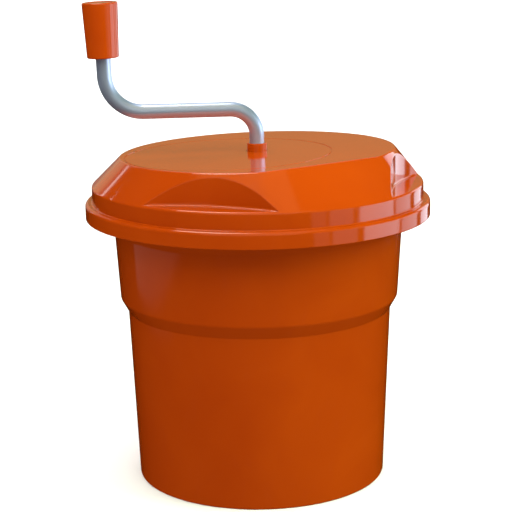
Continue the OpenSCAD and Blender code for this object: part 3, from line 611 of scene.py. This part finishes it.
def buildGrip(s, crank):  # both pieces are turned round the crank's upright
    axis = uprightFrame(crank) @ Matrix.Translation((0, 0, metres(crank["uprightToGrip"])))
    mesh = bmesh.new()
    turned(mesh, rounded([
        (s["bore"], s["boreTop"], 0), (s["bore"], 0, s["mouthEdge"]), (s["bottomRadius"], 0, s["bottomEdge"]),
        (s["topRadius"], s["length"], s["topEdge"]), (s["capRadius"], s["length"], s["mouthEdge"]),
        (s["capRadius"], s["capSeat"], 0), (s["chamberRadius"], s["capSeat"], 0),
        (s["chamberRadius"], s["webTop"], 0), (s["screwRadius"], s["webTop"], 0),
        (s["screwRadius"], s["boreTop"], 0)]), s["segments"], axis)
    makePiece("gripShell", mesh, orangePolypropylene, "grip", ["grip"])
    hollowRadius, hollowTop = s["capHollow"]
    capEnd = s["capRadius"] - s["capGap"]
    cap = bmesh.new()
    turned(cap, rounded([
        (0, s["capTop"] + s["capCrown"], 0), (s["capRadius"] * 0.5, s["capTop"] + s["capCrown"] * 0.75, 6),
        (capEnd, s["capTop"], s["capEdge"]), (capEnd, s["capSeat"], 0), (hollowRadius, s["capSeat"], 0),
        (hollowRadius, hollowTop, 0), (0, hollowTop, 0)], 5), s["segments"], axis)
    makePiece("gripCap", cap, orangePolypropylene, "grip", ["grip_cap"])


buildGrip(gripSizes, crankSizes)


cameraSet = {
    "place": (0, -1.5215, 0.5639), "pitch": 12.96, "yaw": -0.096, "roll": -0.918,  # metres and degrees
    "lens": 113.3, "sensor": 36, "near": 0.05, "far": 60,
}


def placeCamera(s):
    pitch, yaw, roll = (math.radians(s[k]) for k in ("pitch", "yaw", "roll"))
    ahead = Vector((math.sin(yaw) * math.cos(pitch), math.cos(yaw) * math.cos(pitch), -math.sin(pitch)))
    right = Vector((math.cos(yaw), -math.sin(yaw), 0))
    up = right.cross(ahead)
    tiltedRight = right * math.cos(roll) + up * math.sin(roll)
    tiltedUp = up * math.cos(roll) - right * math.sin(roll)
    data = bpy.data.cameras.new("camera")
    data.lens = s["lens"]
    data.sensor_width = s["sensor"]
    data.clip_start, data.clip_end = s["near"], s["far"]
    camera = bpy.data.objects.new("camera", data)
    basis = Matrix((tiltedRight, tiltedUp, -ahead)).transposed()
    camera.matrix_world = Matrix.Translation(s["place"]) @ basis.to_4x4()
    scene.collection.objects.link(camera)
    scene.camera = camera


placeCamera(cameraSet)


studio = {
    "skyStrength": 0.66, "skyColour": "#ffffff", "floorColour": "#fbfbfa", "floorRadius": 14, "target": 0.26,
    "ceiling": {  # whitens the floor behind
        "place": (0, 6.0, 4.0), "width": 12.0, "depth": 9.0, "brightness": 1.8, "colour": "#ffffff"},
    # azimuth, elevation, distance, width, height, brightness, colour, what it shows on
    "boxes": {
        "keyRight": (75, 24, 2.6, 1.8, 1.6, 7.8, "#cdfdd2", "surfaces"),
        "frontKey": (-8, 52, 1.1, 1.2, 0.8, 3.4, "#f6ffe6", "surfaces"),
        "frontTop": (-5, 32, 2.6, 3.0, 2.3, 0.5, "#fff4e0", "gloss"),
        "windowA": (40.2, 2, 3.0, 0.546, 1.75, 0.35, "#e3f1ff", "gloss"),
        "windowB": (56.6, 2, 3.0, 0.961, 1.75, 0.75, "#e3f1ff", "gloss"),
        "windowC": (86.9, 2, 3.0, 1.743, 1.75, 3.0, "#e3f1ff", "gloss"),
        "windowD": (115.9, 2, 3.0, 1.09, 1.75, 1.8, "#e3f1ff", "gloss"),
        "windowE": (141.5, 4, 3.0, 0.897, 1.9, 2.4, "#e3f1ff", "gloss"),
        "leftWall": (-89, -17.0, 3.0, 2.9, 0.28, 0.2, "#ffffff", "gloss"),
        "leftBack": (-156, 12, 3.4, 1.4, 2.4, 0.25, "#fff6e8", "gloss"),
        "backLeft": (-141, 18, 3.0, 0.1, 1.6, 2.4, "#ffffff", "gloss"),
        "lamp": (-131, 25.7, 3.0, 0.06, 0.035, 9.0, "#ffffff", "gloss"),
        "backWall": (180, 14, 4.0, 5.0, 1.6, 0.31, "#f6f6ac", "gloss"),
        "ceilingBack": (180, 58, 3.0, 2.0, 3.2, 0.65, "#cfe4ff", "gloss"),
        "frontRoof": (0, 73, 2.6, 3.2, 1.7, 0.55, "#ffe4a0", "gloss"),
        "skylight": (-121, 73, 2.5, 1.3, 1.0, 9.0, "#fff6e4", "gloss"),
    },
}


def areaLight(name, place, away, width, height, brightness, colour, shows):
    # A panel that lights matt surfaces or shows as a reflection in glossy ones, never both
    data = bpy.data.lights.new(name, "AREA")
    data.shape = "RECTANGLE"
    data.size, data.size_y = width, height
    data.energy = brightness * math.pi * width * height
    data.color = linear(colour)[:3]
    light = bpy.data.objects.new(name, data)
    light.location = place
    light.rotation_euler = away.to_track_quat("Z", "Y").to_euler()
    light.visible_camera = False
    light.visible_diffuse = shows == "surfaces"
    light.visible_glossy = shows == "gloss"
    scene.collection.objects.link(light)


def placeBox(name, target, azimuth, elevation, distance, *panel):  # the panel faces the target height
    flat = heading(azimuth) * math.cos(math.radians(elevation))
    away = Vector((flat.x, flat.y, math.sin(math.radians(elevation))))
    areaLight(name, away * distance + Vector((0, 0, target)), away, *panel)


def buildStudio(s):
    world = bpy.data.worlds.new("studioSky")
    world.use_nodes = True
    background = world.node_tree.nodes["Background"]
    background.inputs["Color"].default_value = linear(s["skyColour"])
    background.inputs["Strength"].default_value = s["skyStrength"]
    world.cycles_visibility.glossy = False  # the sky doesn't show in reflections
    scene.world = world
    mesh = bmesh.new()
    bmesh.ops.create_circle(mesh, cap_ends=True, segments=96, radius=s["floorRadius"])
    data = bpy.data.meshes.new("floor")
    mesh.to_mesh(data)
    mesh.free()
    floor = bpy.data.objects.new("floor", data)
    scene.collection.objects.link(floor)
    paint = newMaterial("paleFloor", {  # matt paint, in which nothing mirrors
        "Base Color": linear(s["floorColour"]), "Roughness": 0.8, "Specular IOR Level": 0.0})[0]
    data.materials.append(paint)
    floor.visible_glossy = False
    floor.visible_diffuse = False  # and throws no light back up on the tub
    ceiling = s["ceiling"]
    areaLight("ceiling", ceiling["place"], Vector((0, 0, 1)), ceiling["width"], ceiling["depth"],
              ceiling["brightness"], ceiling["colour"], "surfaces")
    for name, numbers in s["boxes"].items():
        placeBox(name, s["target"], *numbers)
    scene.view_settings.view_transform = "Standard"
    print("studio ready:", len(s["boxes"]), "lights")


buildStudio(studio)
